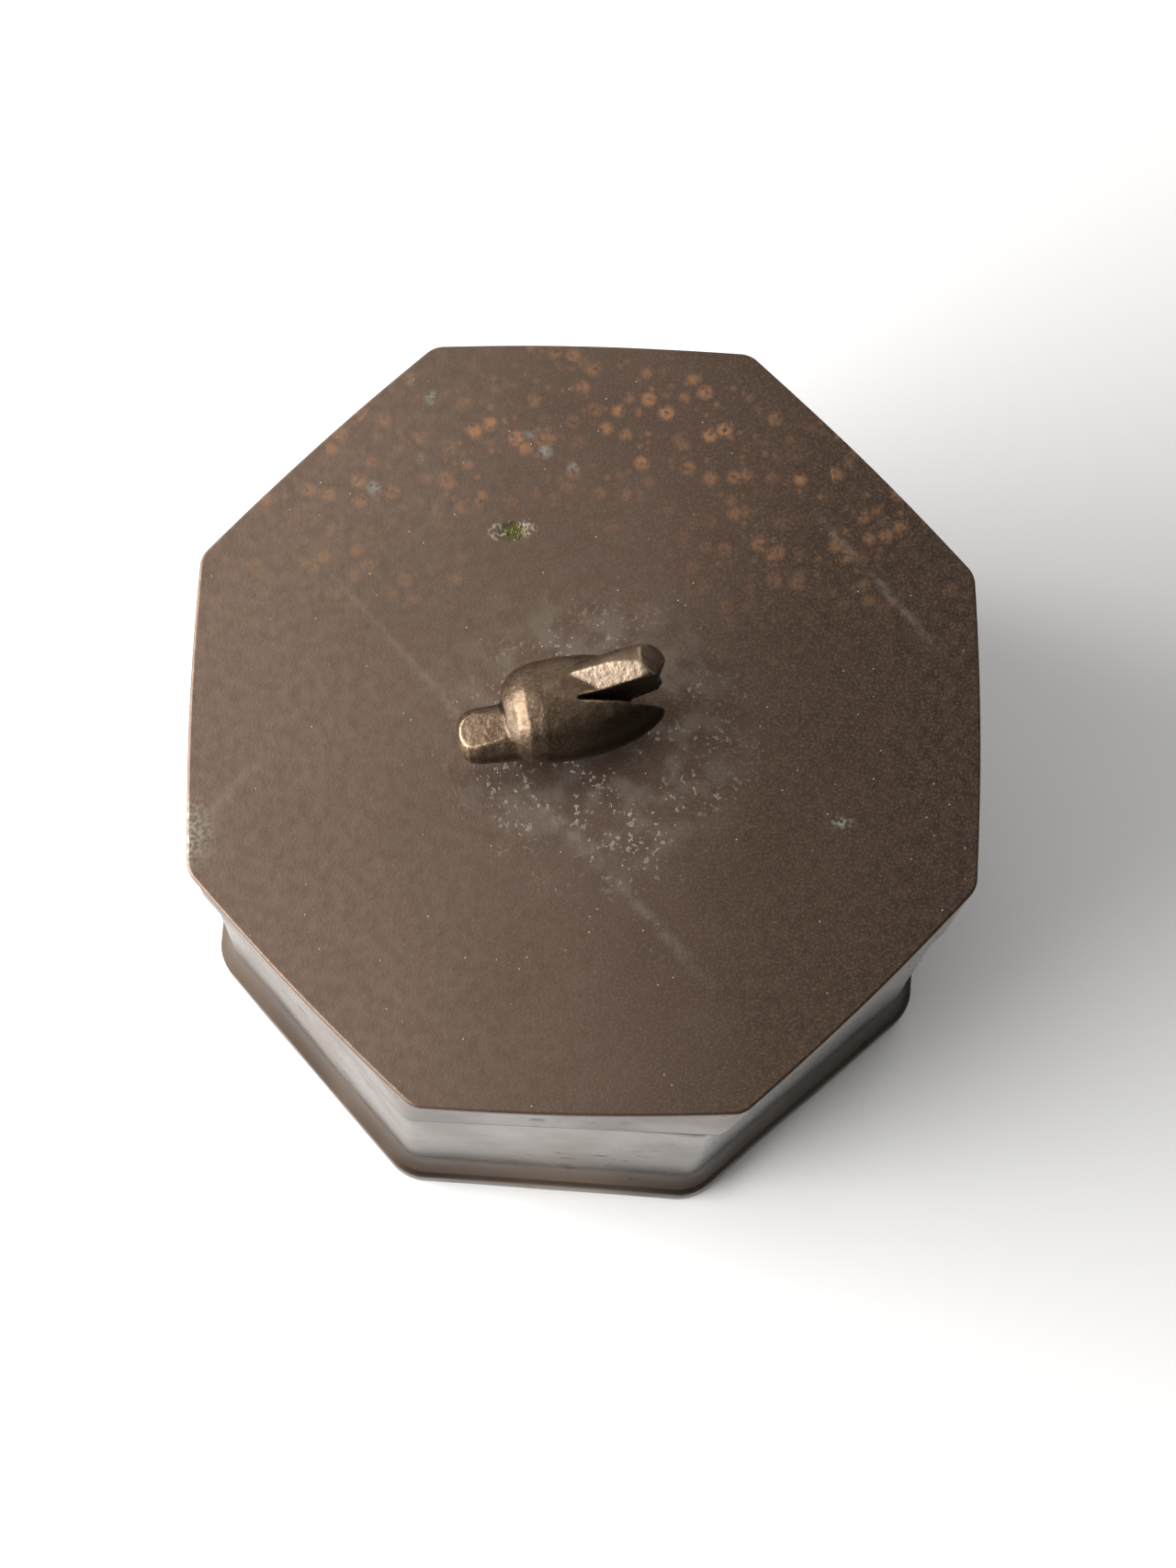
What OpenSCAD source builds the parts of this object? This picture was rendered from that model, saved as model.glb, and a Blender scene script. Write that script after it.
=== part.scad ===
// Octagonal bronze inkwell: a soldered eight-sided case, a lift-off lid with a cast
// twig-shaped knob, and a round glass ink well that hangs in the case's deck.
// Millimetres, +Z up, origin at the centre of the underside of the foot.

/* [Case] */
// Width of the foot across its flats
foot_w = 81.2; // [80.6:0.1:86]
// Height of the foot moulding
foot_h = 9; // [7:0.5:12]
// Radius of the hollow curve that runs from the wall out to the foot
cove_r = 8; // [6:0.5:10]
// Width of the case wall across its flats
wall_w = 77.6; // [77:0.1:78.2]
// Thickness of the wall sheet
wall_t = 1.4; // [1.2:0.1:1.8]
// Height of the wall's top edge above the table
wall_top_z = 48.2; // [46:0.2:52]
// Thickness of the bottom plate
floor_t = 1.4; // [1:0.1:2]
// Height of the bottom plate's underside above the table
floor_z = 1; // [0.5:0.1:1.2]

/* [Rim and deck] */
// Thickness of the inner rim strip that the lid slides over
rim_t = 1; // [0.8:0.1:1.2]
// How far the rim strip stands above the wall
rim_rise = 8.8; // [6:0.2:10]
// How far the rim strip reaches down inside the wall
rim_drop = 8.2; // [7:0.2:12]
// Thickness of the deck plate
deck_t = 1.2; // [1:0.1:1.6]
// Depth of the deck's top face below the wall's top edge
deck_drop = 3.2; // [3:0.1:4]
// Length of the collar under the deck
collar_h = 10; // [6:0.5:14]
// Thickness of the collar
collar_t = 1; // [0.8:0.1:1.4]

/* [Glass well] */
// Outer diameter of the glass well
well_d = 50; // [44:0.5:52]
// Diameter of the flange that rests on the deck
flange_d = 57; // [56:0.5:60]
// Thickness of the flange
flange_t = 2.2; // [1.8:0.1:2.6]
// Length of the glass below its flange
well_h = 35; // [28:0.5:37]
// Thickness of the glass wall
glass_t = 4; // [3:0.5:5]
// Thickness of the glass bottom
glass_floor_t = 4; // [3:0.5:6]
// Radial gap between the glass and its collar
well_gap = 0.3; // [0.2:0.05:0.5]

/* [Lid] */
// Width of the lid plate across its flats
lid_w = 80; // [79.6:0.1:80.2]
// Thickness of the lid plate
lid_t = 1.4; // [1:0.1:1.8]
// Height of the lid's top face above the table
lid_top_z = 65; // [64:0.5:68]
// Width of the lid's skirt across its flats
skirt_w = 78.8; // [78.6:0.1:78.9]
// Thickness of the skirt sheet
skirt_t = 1; // [0.8:0.1:1]
// Turn of the lid plate against the case, in degrees
plate_turn = 3.1; // [2.5:0.1:3.2]
// Turn of the lid's skirt against the case, in degrees
skirt_turn = 1.5; // [1:0.1:2]

/* [Knob] */
// Height of the post that carries the knob
post_h = 5; // [4:0.5:6]
// Diameter of the post
post_d = 6; // [5:0.5:7]
// Height of the trunk's axis above the lid
trunk_z = 6.8; // [6.5:0.1:8]
// Diameter of the trunk at its thickest
trunk_d = 9.8; // [8:0.2:10]
// Diameter of the threaded stud
stud_d = 3; // [2.5:0.1:3.5]
// Depth of the stud's hole in the post
stud_depth = 4; // [3:0.5:4.5]
// Thickness of the nut under the lid
nut_t = 2.4; // [2:0.1:3]
// Width of the nut across its flats
nut_w = 5.5; // [5.5:0.1:6.5]
// Diameter of the washer
washer_d = 9; // [8:0.5:12]
// Thickness of the washer
washer_t = 0.8; // [0.6:0.1:1]

/* [Hidden] */

$fn = 96;
sides = 8;
nut_sides = 6;
ball_fn = 32;
bronze = "#5d4c41";
old_brass = "#8a6f45";
glass_green = "#bcd0c8";

// How far a cut reaches past the solid that it is cut from
past = 1;
// How far the bottom plate reaches under the wall
floor_lap = 0.6;
// Radial gap between the stud and its hole
stud_gap = 0.2;
// How far the stud stands out of its nut
stud_tip = 0.8;

wall_in_w = wall_w - 2 * wall_t;
rim_in_w = wall_in_w - 2 * rim_t;
floor_w = wall_in_w + 2 * floor_lap;
floor_ledge_z = floor_z + floor_t;
rim_z = wall_top_z - rim_drop;
deck_z = wall_top_z - deck_drop - deck_t;
seat_z = deck_z + deck_t;
deck_hole_r = well_d / 2 + well_gap;
lid_under_z = lid_top_z - lid_t;
skirt_h = lid_under_z - wall_top_z;
stud_hole_r = stud_d / 2 + stud_gap;
washer_z = lid_under_z - washer_t;
nut_z = washer_z - nut_t;
stud_z = nut_z - stud_tip;

// Places on the knob are measured from the centre of the lid's top face.
trunk_rear = [-3.4, -0.8, trunk_z];
trunk_front = [1.2, 0.4, trunk_z];
trunk_taper = 0.3;
tail_root = [-6.2, -2.9, trunk_z - 0.6];
tail_end = [-10.0, -3.3, trunk_z - 1.2];
tail_r = 2.9;
shoot_root = [0.2, 1.7, trunk_z + 2.6];
shoot_end = [5.4, 3.5, trunk_z + 4.0];
shoot_root_r = 2.2;
shoot_end_r = 2;
bud_end = [4.6, -0.2, trunk_z - 0.4];
bud_r = 2.6;

// Regular octagon with its flats facing the axes.
module octagon(across) {
    rotate(180 / sides)
        circle(r = across / 2 / cos(180 / sides), $fn = sides);
}

// Solid octagonal plate that stands on z = 0.
module octagon_plate(across, height) {
    linear_extrude(height = height)
        octagon(across);
}

// Octagonal strip between an outer and an inner width.
module octagon_ring(outer, inner, height) {
    linear_extrude(height = height)
        difference() {
            octagon(outer);
            octagon(inner);
        }
}

module ring(outer_r, inner_r, height) {
    difference() {
        cylinder(r = outer_r, h = height);
        translate([0, 0, -past])
            cylinder(r = inner_r, h = height + 2 * past);
    }
}

// Ring under the wall. Each side is hollowed by its own cylinder, so that neighbours
// meet on a mitre, and the underside is rebated for the bottom plate.
module foot_moulding() {
    color(bronze)
        difference() {
            octagon_ring(foot_w, rim_in_w, foot_h);
            translate([0, 0, -past])
                octagon_plate(floor_w, floor_ledge_z + past);
            for (side = [0 : sides - 1])
                rotate(side * 360 / sides)
                    translate([wall_w / 2 + cove_r, 0, foot_h])
                        rotate([90, 0, 0])
                            cylinder(r = cove_r, h = foot_w, center = true);
        }
}

module base_plate() {
    color(bronze)
        translate([0, 0, floor_z])
            octagon_plate(floor_w, floor_t);
}

module case_wall() {
    color(bronze)
        translate([0, 0, foot_h])
            octagon_ring(wall_w, wall_in_w, wall_top_z - foot_h);
}

module rim_strip() {
    color(bronze)
        translate([0, 0, rim_z])
            octagon_ring(wall_in_w, rim_in_w, rim_drop + rim_rise);
}

module well_deck() {
    color(bronze)
        translate([0, 0, deck_z])
            difference() {
                octagon_plate(rim_in_w, deck_t);
                translate([0, 0, -past])
                    cylinder(r = deck_hole_r, h = deck_t + 2 * past);
            }
}

module well_collar() {
    color(bronze)
        translate([0, 0, deck_z - collar_h])
            ring(deck_hole_r + collar_t, deck_hole_r, collar_h);
}

// Turned profile: chamfered foot, straight wall, flange with a broken edge.
module glass_well() {
    r = well_d / 2;
    inner_r = r - glass_t;
    flange_r = flange_d / 2;
    foot_chamfer = 2;
    edge = 0.6;
    bowl_r = 3;
    color(glass_green, 0.5)
        translate([0, 0, seat_z])
            rotate_extrude()
                polygon([
                    [0, -well_h],
                    [r - foot_chamfer, -well_h],
                    [r, foot_chamfer - well_h],
                    [r, 0],
                    [flange_r, 0],
                    [flange_r, flange_t - edge],
                    [flange_r - edge, flange_t],
                    [inner_r + edge, flange_t],
                    [inner_r, flange_t - edge],
                    [inner_r, glass_floor_t + bowl_r - well_h],
                    [inner_r - bowl_r, glass_floor_t - well_h],
                    [0, glass_floor_t - well_h]
                ]);
}

module lid_plate() {
    color(bronze)
        rotate(plate_turn)
            translate([0, 0, lid_under_z])
                difference() {
                    octagon_plate(lid_w, lid_t);
                    translate([0, 0, -past])
                        cylinder(r = stud_hole_r, h = lid_t + 2 * past);
                }
}

module lid_skirt() {
    color(bronze)
        rotate(skirt_turn)
            translate([0, 0, wall_top_z])
                octagon_ring(skirt_w, skirt_w - 2 * skirt_t, skirt_h);
}

// Rounded bar between two balls.
module limb(from, to, from_r, to_r) {
    hull() {
        translate(from)
            sphere(r = from_r, $fn = ball_fn);
        translate(to)
            sphere(r = to_r, $fn = ball_fn);
    }
}

// Cast twig on a post: a thick trunk, a cut tail, a raised shoot and a low bud.
module knob() {
    color(old_brass)
        rotate(plate_turn)
            translate([0, 0, lid_top_z])
                difference() {
                    union() {
                        cylinder(d = post_d, h = post_h);
                        limb(trunk_rear, trunk_front, trunk_d / 2, trunk_d / 2 - trunk_taper);
                        limb(tail_root, tail_end, tail_r, tail_r);
                        limb(shoot_root, shoot_end, shoot_root_r, shoot_end_r);
                        limb(trunk_front, bud_end, bud_r + trunk_taper, bud_r);
                    }
                    translate([0, 0, -past])
                        cylinder(d = stud_d, h = stud_depth + past);
                }
}

module knob_stud() {
    color(old_brass)
        rotate(plate_turn)
            translate([0, 0, stud_z])
                cylinder(d = stud_d, h = lid_top_z + stud_depth - stud_z);
}

module knob_washer() {
    color(old_brass)
        translate([0, 0, washer_z])
            ring(washer_d / 2, stud_hole_r, washer_t);
}

module knob_nut() {
    color(old_brass)
        rotate(plate_turn)
            translate([0, 0, nut_z])
                difference() {
                    cylinder(r = nut_w / 2 / cos(180 / nut_sides), h = nut_t, $fn = nut_sides);
                    translate([0, 0, -past])
                        cylinder(d = stud_d, h = nut_t + 2 * past);
                }
}

foot_moulding();
base_plate();
case_wall();
rim_strip();
well_deck();
well_collar();
glass_well();
lid_plate();
lid_skirt();
knob();
knob_stud();
knob_washer();
knob_nut();
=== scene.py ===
"""Octagonal bronze inkwell with a lift-off lid: the looks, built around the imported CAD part."""

import logging
import math
from dataclasses import dataclass, field
from enum import Enum
from functools import reduce

import bpy
import numpy as np
from mathutils import Matrix, Vector


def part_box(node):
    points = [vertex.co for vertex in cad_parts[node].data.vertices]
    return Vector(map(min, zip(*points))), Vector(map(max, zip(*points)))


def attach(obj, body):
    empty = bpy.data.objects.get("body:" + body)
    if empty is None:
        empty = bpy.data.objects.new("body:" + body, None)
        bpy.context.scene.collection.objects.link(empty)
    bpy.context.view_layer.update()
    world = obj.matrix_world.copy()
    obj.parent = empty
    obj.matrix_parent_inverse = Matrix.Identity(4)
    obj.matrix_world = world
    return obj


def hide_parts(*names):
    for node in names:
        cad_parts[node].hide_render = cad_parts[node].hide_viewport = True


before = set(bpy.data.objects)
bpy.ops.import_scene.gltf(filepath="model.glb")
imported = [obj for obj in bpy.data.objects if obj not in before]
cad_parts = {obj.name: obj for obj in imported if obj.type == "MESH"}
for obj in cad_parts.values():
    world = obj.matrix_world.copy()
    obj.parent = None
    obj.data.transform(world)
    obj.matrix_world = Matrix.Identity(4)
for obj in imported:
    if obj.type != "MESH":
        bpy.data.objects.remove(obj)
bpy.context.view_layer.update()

LOG = logging.getLogger("inkwell")
MM = 0.001
SIDES = 8
HALF_SECTOR = math.pi / SIDES
SHARP_DEGREES = 35
MERGE_DISTANCE = 0.002 * MM

Place = tuple[float, float]
Profile = list[Place]
Point = tuple[float, float, float]
Patch = tuple[float, float, float]
Station = tuple[float, float, float]
Colour = tuple[float, float, float]
Piece = bpy.types.Object
Material = bpy.types.Material
Socket = bpy.types.NodeSocket


# ---------------------------------------------------------------- mesh tools


def clear_selection() -> None:
    """Deselects every object, so that an operator acts on the new piece alone."""
    for obj in bpy.context.selected_objects:
        obj.select_set(False)


def activate(obj: Piece) -> None:
    """Makes one object the only selected and active one.

    Args:
        obj: The object to work on.
    """
    clear_selection()
    obj.select_set(True)
    bpy.context.view_layer.objects.active = obj


def apply_modifiers(obj: Piece) -> None:
    """Applies every modifier of an object, first to last.

    Args:
        obj: The object whose modifiers become mesh.
    """
    activate(obj)
    for modifier in list(obj.modifiers):
        bpy.ops.object.modifier_apply(modifier=modifier.name)


def apply_transform() -> None:
    """Applies the place, turn and scale of the selected object to its mesh."""
    bpy.ops.object.transform_apply(location=True, rotation=True, scale=True)


def select_edges(obj: Piece, longer_than: float) -> None:
    """Selects an object's long edges in edit mode.

    Args:
        obj: The object being edited.
        longer_than: Length in metres above which an edge is selected.
    """
    bpy.ops.mesh.select_mode(type="EDGE")
    bpy.ops.mesh.select_all(action="DESELECT")
    bpy.ops.object.mode_set(mode="OBJECT")
    points = obj.data.vertices
    for edge in obj.data.edges:
        start, end = (points[i].co for i in edge.vertices)
        edge.select = (end - start).length > longer_than
    bpy.ops.object.mode_set(mode="EDIT")


def round_edges(obj: Piece, width: float, segments: int = 3) -> None:
    """Rounds an object's sharp edges with an applied bevel.

    Args:
        obj: The object to bevel.
        width: Width of the rounding in metres.
        segments: Number of faces across the rounding.
    """
    bevel = obj.modifiers.new("rounding", "BEVEL")
    bevel.limit_method = "ANGLE"
    bevel.angle_limit = math.radians(SHARP_DEGREES)
    bevel.width = width
    bevel.segments = segments
    apply_modifiers(obj)


def make_uneven(obj: Piece, depth: float, size: float, inward: bool = True) -> None:
    """Gives a piece the gentle unevenness of hand work, as real shape.

    Args:
        obj: The object to displace.
        depth: Greatest displacement in metres.
        size: Size of the swells in metres.
        inward: Whether the surface may only sink and never stand proud.
    """
    texture = bpy.data.textures.new(f"{obj.name}_swells", "CLOUDS")
    texture.noise_scale = size
    texture.noise_depth = 1
    displace = obj.modifiers.new("swells", "DISPLACE")
    displace.texture = texture
    displace.texture_coords = "LOCAL"
    displace.strength = depth
    displace.mid_level = 1.0 if inward else 0.5
    apply_modifiers(obj)


def warp_sideways(obj: Piece, depth: float, size: float) -> None:
    """Bends a piece gently in plan and finishes it. Pieces that touch bend alike.

    Args:
        obj: The object to bend.
        depth: Greatest shift from one side to the other, in metres.
        size: Size of the swells in metres.
    """
    for axis, basis in (("X", "BLENDER_ORIGINAL"), ("Y", "ORIGINAL_PERLIN")):
        texture = bpy.data.textures.new(f"{obj.name}_{axis}_swells", "CLOUDS")
        texture.noise_basis = basis
        texture.noise_scale = size
        texture.noise_depth = 0
        bend = obj.modifiers.new("bend", "DISPLACE")
        bend.texture = texture
        bend.texture_coords = "LOCAL"
        bend.direction = axis
        bend.strength = depth
        bend.mid_level = 0.5
    apply_modifiers(obj)
    finish_mesh(obj)


def finish_mesh(obj: Piece, sharp_degrees: float = SHARP_DEGREES) -> None:
    """Merges doubles, points the faces outwards and smooths the shading.

    Args:
        obj: The object to finish.
        sharp_degrees: Angle above which an edge stays sharp.
    """
    activate(obj)
    bpy.ops.object.mode_set(mode="EDIT")
    bpy.ops.mesh.select_all(action="SELECT")
    bpy.ops.mesh.remove_doubles(threshold=MERGE_DISTANCE)
    bpy.ops.mesh.normals_make_consistent(inside=False)
    bpy.ops.object.mode_set(mode="OBJECT")
    bpy.ops.object.shade_smooth_by_angle(angle=math.radians(sharp_degrees))


@dataclass(frozen=True)
class Outline:
    """Plan of a piece that a profile is carried round.

    Attributes:
        corners: Number of corners: eight for the case, many for a round piece.
        corner_cut: How far each corner is cut back before it is rounded, in metres.
        side_cuts: Number of points added along each straight side.
        turn: Turn about the vertical axis, in degrees.
        bow: Share by which the sides bow out towards a circle.
    """

    corners: int = SIDES
    corner_cut: float = 0.0
    side_cuts: int = 0
    turn: float = 0.0
    bow: float = 0.0

    def start(self, name: str, half_width: float, height: float) -> Piece:
        """Adds the outline as one closed loop of edges and leaves it in edit mode.

        Args:
            name: Name of the new piece.
            half_width: Distance from the axis to a flat side, in metres.
            height: Height of the loop, in metres.

        Returns:
            The new object, in edit mode with its loop selected.
        """
        clear_selection()
        half_sector = math.pi / self.corners
        bpy.ops.mesh.primitive_circle_add(
            vertices=self.corners,
            radius=half_width / math.cos(half_sector),
            fill_type="NGON",
            location=(0, 0, height),
            rotation=(0, 0, half_sector + math.radians(self.turn)),
        )
        obj = bpy.context.object
        obj.name = obj.data.name = name
        apply_transform()
        bpy.ops.object.mode_set(mode="EDIT")
        bpy.ops.mesh.select_all(action="SELECT")
        if self.corner_cut:
            bpy.ops.mesh.bevel(offset=self.corner_cut, segments=5, affect="VERTICES")
        if self.side_cuts:
            select_edges(obj, longer_than=half_width / 2)
            bpy.ops.mesh.subdivide(number_cuts=self.side_cuts)
        bpy.ops.mesh.select_all(action="SELECT")
        if self.bow:
            bpy.ops.transform.tosphere(value=self.bow)
        bpy.ops.mesh.delete(type="ONLY_FACE")
        bpy.ops.mesh.select_all(action="SELECT")
        return obj


def extrude_loop(rise: float, wider: float, taller: float) -> None:
    """Extrudes the selected loop upwards and scales the new loop about the axis.

    Args:
        rise: Height of the step in metres.
        wider: Factor along x.
        taller: Factor along y.
    """
    bpy.ops.mesh.extrude_region_move(TRANSFORM_OT_translate={"value": (0, 0, rise)})
    bpy.ops.transform.resize(value=(wider, taller, 1), center_override=(0, 0, 0))


def follow(profile: Profile) -> None:
    """Extrudes the selected loop along a profile and leaves edit mode.

    Args:
        profile: Half width and height of each loop in metres, from the selected loop on.
    """
    for (half, height), (next_half, next_height) in zip(profile, profile[1:]):
        extrude_loop(next_height - height, next_half / half, next_half / half)
    bpy.ops.object.mode_set(mode="OBJECT")


def carry_round(name: str, outline: Outline, profile: Profile) -> Piece:
    """Builds a closed ring or plate by extruding an outline along a closed profile.

    Args:
        name: Name of the new piece.
        outline: Plan that the profile is carried round.
        profile: Half width and height of each loop in metres, from an outer loop on. The last
            loop meets the first.

    Returns:
        The finished object.
    """
    obj = outline.start(name, *profile[0])
    follow([*profile, profile[0]])
    finish_mesh(obj)
    return obj


def turn_solid(name: str, profile: Profile, points: int = 96) -> Piece:
    """Builds a turned piece whose profile starts and ends on the axis.

    Args:
        name: Name of the new piece.
        profile: Radius and height of each loop in metres, the two poles left out.
        points: Number of points round the axis.

    Returns:
        The finished object.
    """
    obj = Outline(corners=points).start(name, *profile[0])
    bpy.ops.mesh.edge_face_add()
    follow(profile)
    finish_mesh(obj)
    return obj


def arc(centre: Place, radius: float, start: float, end: float, steps: int) -> Profile:
    """Returns points along an arc of a profile.

    Args:
        centre: Half width and height of the arc's centre, in metres.
        radius: Radius of the arc in metres.
        start: Angle of the first point in degrees, from the outward direction towards up.
        end: Angle of the last point in degrees.
        steps: Number of stretches between the points.

    Returns:
        The points, first to last.
    """
    angles = [math.radians(start + (end - start) * i / steps) for i in range(steps + 1)]
    return [(centre[0] + radius * math.cos(a), centre[1] + radius * math.sin(a)) for a in angles]


def spread(first: float, last: float, steps: int) -> list[float]:
    """Returns evenly spaced values from first to last, both included.

    Args:
        first: First value.
        last: Last value.
        steps: Number of stretches between the values.

    Returns:
        The values in order.
    """
    return [first + (last - first) * i / steps for i in range(steps + 1)]


def flat_half_width(node: str, turn: float) -> float:
    """Returns the distance from the axis to a flat side of an octagonal CAD node.

    Args:
        node: Name of the CAD node.
        turn: The node's turn about the vertical axis, in degrees.

    Returns:
        The half width in metres.
    """
    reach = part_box(node)[1].x
    return reach / math.cos(HALF_SECTOR - math.radians(turn)) * math.cos(HALF_SECTOR)


# ---------------------------------------------------------------- finishes


class Graph:
    """Small builder for the nodes of a material or of the world."""

    def __init__(self, tree: bpy.types.NodeTree) -> None:
        """Starts on an existing node tree."""
        self.tree = tree

    def feed(self, value: object, target: Socket) -> None:
        """Links a socket, or sets a plain value, on a target socket.

        Args:
            value: A socket, a number, a vector or a colour.
            target: The input that takes it.
        """
        if isinstance(value, Socket):
            self.tree.links.new(value, target)
        else:
            target.default_value = (*value, 1) if target.type == "RGBA" else value

    def add(self, kind: str, inputs: dict[object, object], **settings: object) -> bpy.types.Node:
        """Adds a node, sets it up and feeds its inputs.

        Args:
            kind: Kind of the node, without its common beginning.
            inputs: For an input's name or number, the socket or plain value that it gets.
            settings: Properties of the node.

        Returns:
            The node.
        """
        node = self.tree.nodes.new(f"ShaderNode{kind}")
        for name, value in settings.items():
            setattr(node, name, value)
        for key, value in inputs.items():
            self.feed(value, node.inputs[key])
        return node

    def calc(self, operation: str, first: object, second: object = 0.0) -> Socket:
        """Joins two sockets or numbers by a maths operation."""
        return self.add("Math", {0: first, 1: second}, operation=operation).outputs["Value"]

    def fold(self, operation: str, *values: object) -> Socket:
        """Joins several sockets or numbers by one operation, one after the other."""
        return reduce(lambda result, value: self.calc(operation, result, value), values)

    def product(self, *values: object) -> Socket:
        """Multiplies several sockets or numbers."""
        return self.fold("MULTIPLY", *values)

    def total(self, *values: object) -> Socket:
        """Adds several sockets or numbers."""
        return self.fold("ADD", *values)

    def most(self, *values: object) -> Socket:
        """Returns the greatest of several sockets or numbers."""
        return self.fold("MAXIMUM", *values)

    def fade(self, value: object, low: float, high: float) -> Socket:
        """Maps a value smoothly to 0 at low and 1 at high, clamped beyond both.

        Args:
            value: The socket to map.
            low: Value that gives 0. It may be above high.
            high: Value that gives 1.

        Returns:
            The mapped value.
        """
        swap = low > high
        limits = {"From Min": min(low, high), "From Max": max(low, high)}
        limits |= {"To Min": float(swap), "To Max": float(not swap)}
        node = self.add("MapRange", {"Value": value, **limits}, interpolation_type="SMOOTHSTEP")
        return node.outputs["Result"]

    def mix(self, amount: object, first: object, second: object) -> Socket:
        """Blends two colours by the share of the second one."""
        return self.add("Mix", {0: amount, 6: first, 7: second}, data_type="RGBA").outputs[2]

    def cover(self, colour: object, over: object, share: float, *masks: object) -> Socket:
        """Lays up to a share of one colour over another, where all of some masks are set."""
        return self.mix(self.product(*masks, share), colour, over)

    def blend(self, amount: object, first: object, second: object) -> Socket:
        """Blends two numbers by the share of the second one."""
        return self.add("Mix", {0: amount, 2: first, 3: second}).outputs[0]


class Nodes(Graph):
    """Builder for a procedural material on object coordinates, in millimetres."""

    def __init__(self, name: str, turn: float = 0.0) -> None:
        """Starts a material with a shader and a place vector.

        Args:
            name: Name of the material.
            turn: Turn of the pattern's frame about the vertical axis, in degrees.
        """
        self.material = bpy.data.materials.new(name)
        self.material.use_nodes = True
        super().__init__(self.material.node_tree)
        self.shader = self.tree.nodes["Principled BSDF"]
        per_metre = 1 / MM
        inputs = {
            "Vector": self.add("TexCoord", {}).outputs["Object"],
            "Rotation": (0, 0, -math.radians(turn)),
            "Scale": (per_metre, per_metre, per_metre),
        }
        self.place = self.add("Mapping", inputs).outputs["Vector"]
        self.x, self.y, self.z = self.add("SeparateXYZ", {"Vector": self.place}).outputs

    def noise(self, per_mm: float, detail: float = 3, stretch: Point = (1, 1, 1)) -> Socket:
        """Adds fractal noise.

        Args:
            per_mm: Number of cells in a millimetre.
            detail: Number of finer octaves.
            stretch: Scale of the pattern along each axis.

        Returns:
            The noise value, about 0 to 1.
        """
        vector = self.place
        if stretch != (1, 1, 1):
            vector = self.add("Mapping", {"Vector": vector, "Scale": stretch}).outputs["Vector"]
        node = self.add("TexNoise", {"Scale": per_mm, "Detail": detail, "Vector": vector})
        return node.outputs["Fac"]

    def spots(
        self, per_mm: float, small: float, large: float, share: float, middle: float = 1.0
    ) -> Socket:
        """Scatters round spots of different sizes, one to a cell at most.

        Args:
            per_mm: Number of cells in a millimetre.
            small: Radius at which a spot is full, in cells.
            large: Radius at which a spot has faded out, in cells.
            share: Share of the cells that hold a spot.
            middle: Strength of a spot in its middle, below 1 for a ring.

        Returns:
            A mask that is 1 in a spot.
        """
        cells = self.add("TexVoronoi", {"Scale": per_mm, "Vector": self.place}).outputs
        draw = self.add("SeparateColor", {"Color": cells["Color"]}).outputs["Red"]
        spot = self.fade(cells["Distance"], large, small)
        if middle < 1:
            inside = self.fade(cells["Distance"], small, 0.0)
            spot = self.product(spot, self.calc("SUBTRACT", 1.0, self.product(inside, 1 - middle)))
        return self.product(spot, self.calc("LESS_THAN", draw, share))

    def disc(self, centre: Place, full: float, gone: float, flat: float = 1.0) -> Socket:
        """Makes a soft disc about a vertical line.

        Args:
            centre: Place of the line in the pattern's frame, in millimetres.
            full: Distance inside which the mask is 1, in millimetres.
            gone: Distance beyond which the mask is 0, in millimetres.
            flat: Factor on the distance along y, above 1 for a wide disc.

        Returns:
            The mask.
        """
        across = self.calc("SUBTRACT", self.x, centre[0])
        along = self.calc("MULTIPLY", self.calc("SUBTRACT", self.y, centre[1]), flat)
        squares = self.total(self.product(across, across), self.product(along, along))
        return self.fade(self.calc("SQRT", squares), gone, full)

    def stroke(self, start: Place, end: Place, width: float) -> Socket:
        """Makes a soft straight stroke on a level surface.

        Args:
            start: First end in the pattern's frame, in millimetres.
            end: Other end, in millimetres.
            width: Distance from its middle at which the stroke has faded out.

        Returns:
            The mask.
        """
        run = Vector(end) - Vector(start)
        length = run.length
        along_x, along_y = run / length
        from_x = self.calc("SUBTRACT", self.x, start[0])
        from_y = self.calc("SUBTRACT", self.y, start[1])
        side = self.calc("SUBTRACT", self.product(from_x, along_y), self.product(from_y, along_x))
        travel = self.total(self.product(from_x, along_x), self.product(from_y, along_y))
        middle = self.calc("ABSOLUTE", self.calc("SUBTRACT", travel, length / 2))
        ends = self.fade(middle, length / 2, length / 4)
        return self.product(self.fade(self.calc("ABSOLUTE", side), width, 0.0), ends)

    def bump(self, *layers: tuple[object, float]) -> None:
        """Stacks bump layers on the shader's normal.

        Args:
            layers: Pairs of height, a socket, and depth in millimetres.
        """
        below = {}
        for height, depth in layers:
            node = self.add("Bump", {"Distance": depth * MM, "Height": height, **below})
            below = {"Normal": node.outputs["Normal"]}
        self.feed(below["Normal"], self.shader.inputs["Normal"])

    def attribute(self, name: str) -> Socket:
        """Reads a number that the mesh holds at each point."""
        return self.add("Attribute", {}, attribute_name=name).outputs["Fac"]

    def finish(self, colour: object, roughness: object, metallic: object) -> Material:
        """Feeds the shader and returns the material.

        Args:
            colour: Base colour.
            roughness: Roughness.
            metallic: Metallic share.

        Returns:
            The finished material.
        """
        looks = {"Base Color": colour, "Roughness": roughness, "Metallic": metallic}
        for name, value in looks.items():
            self.feed(value, self.shader.inputs[name])
        return self.material


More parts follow.
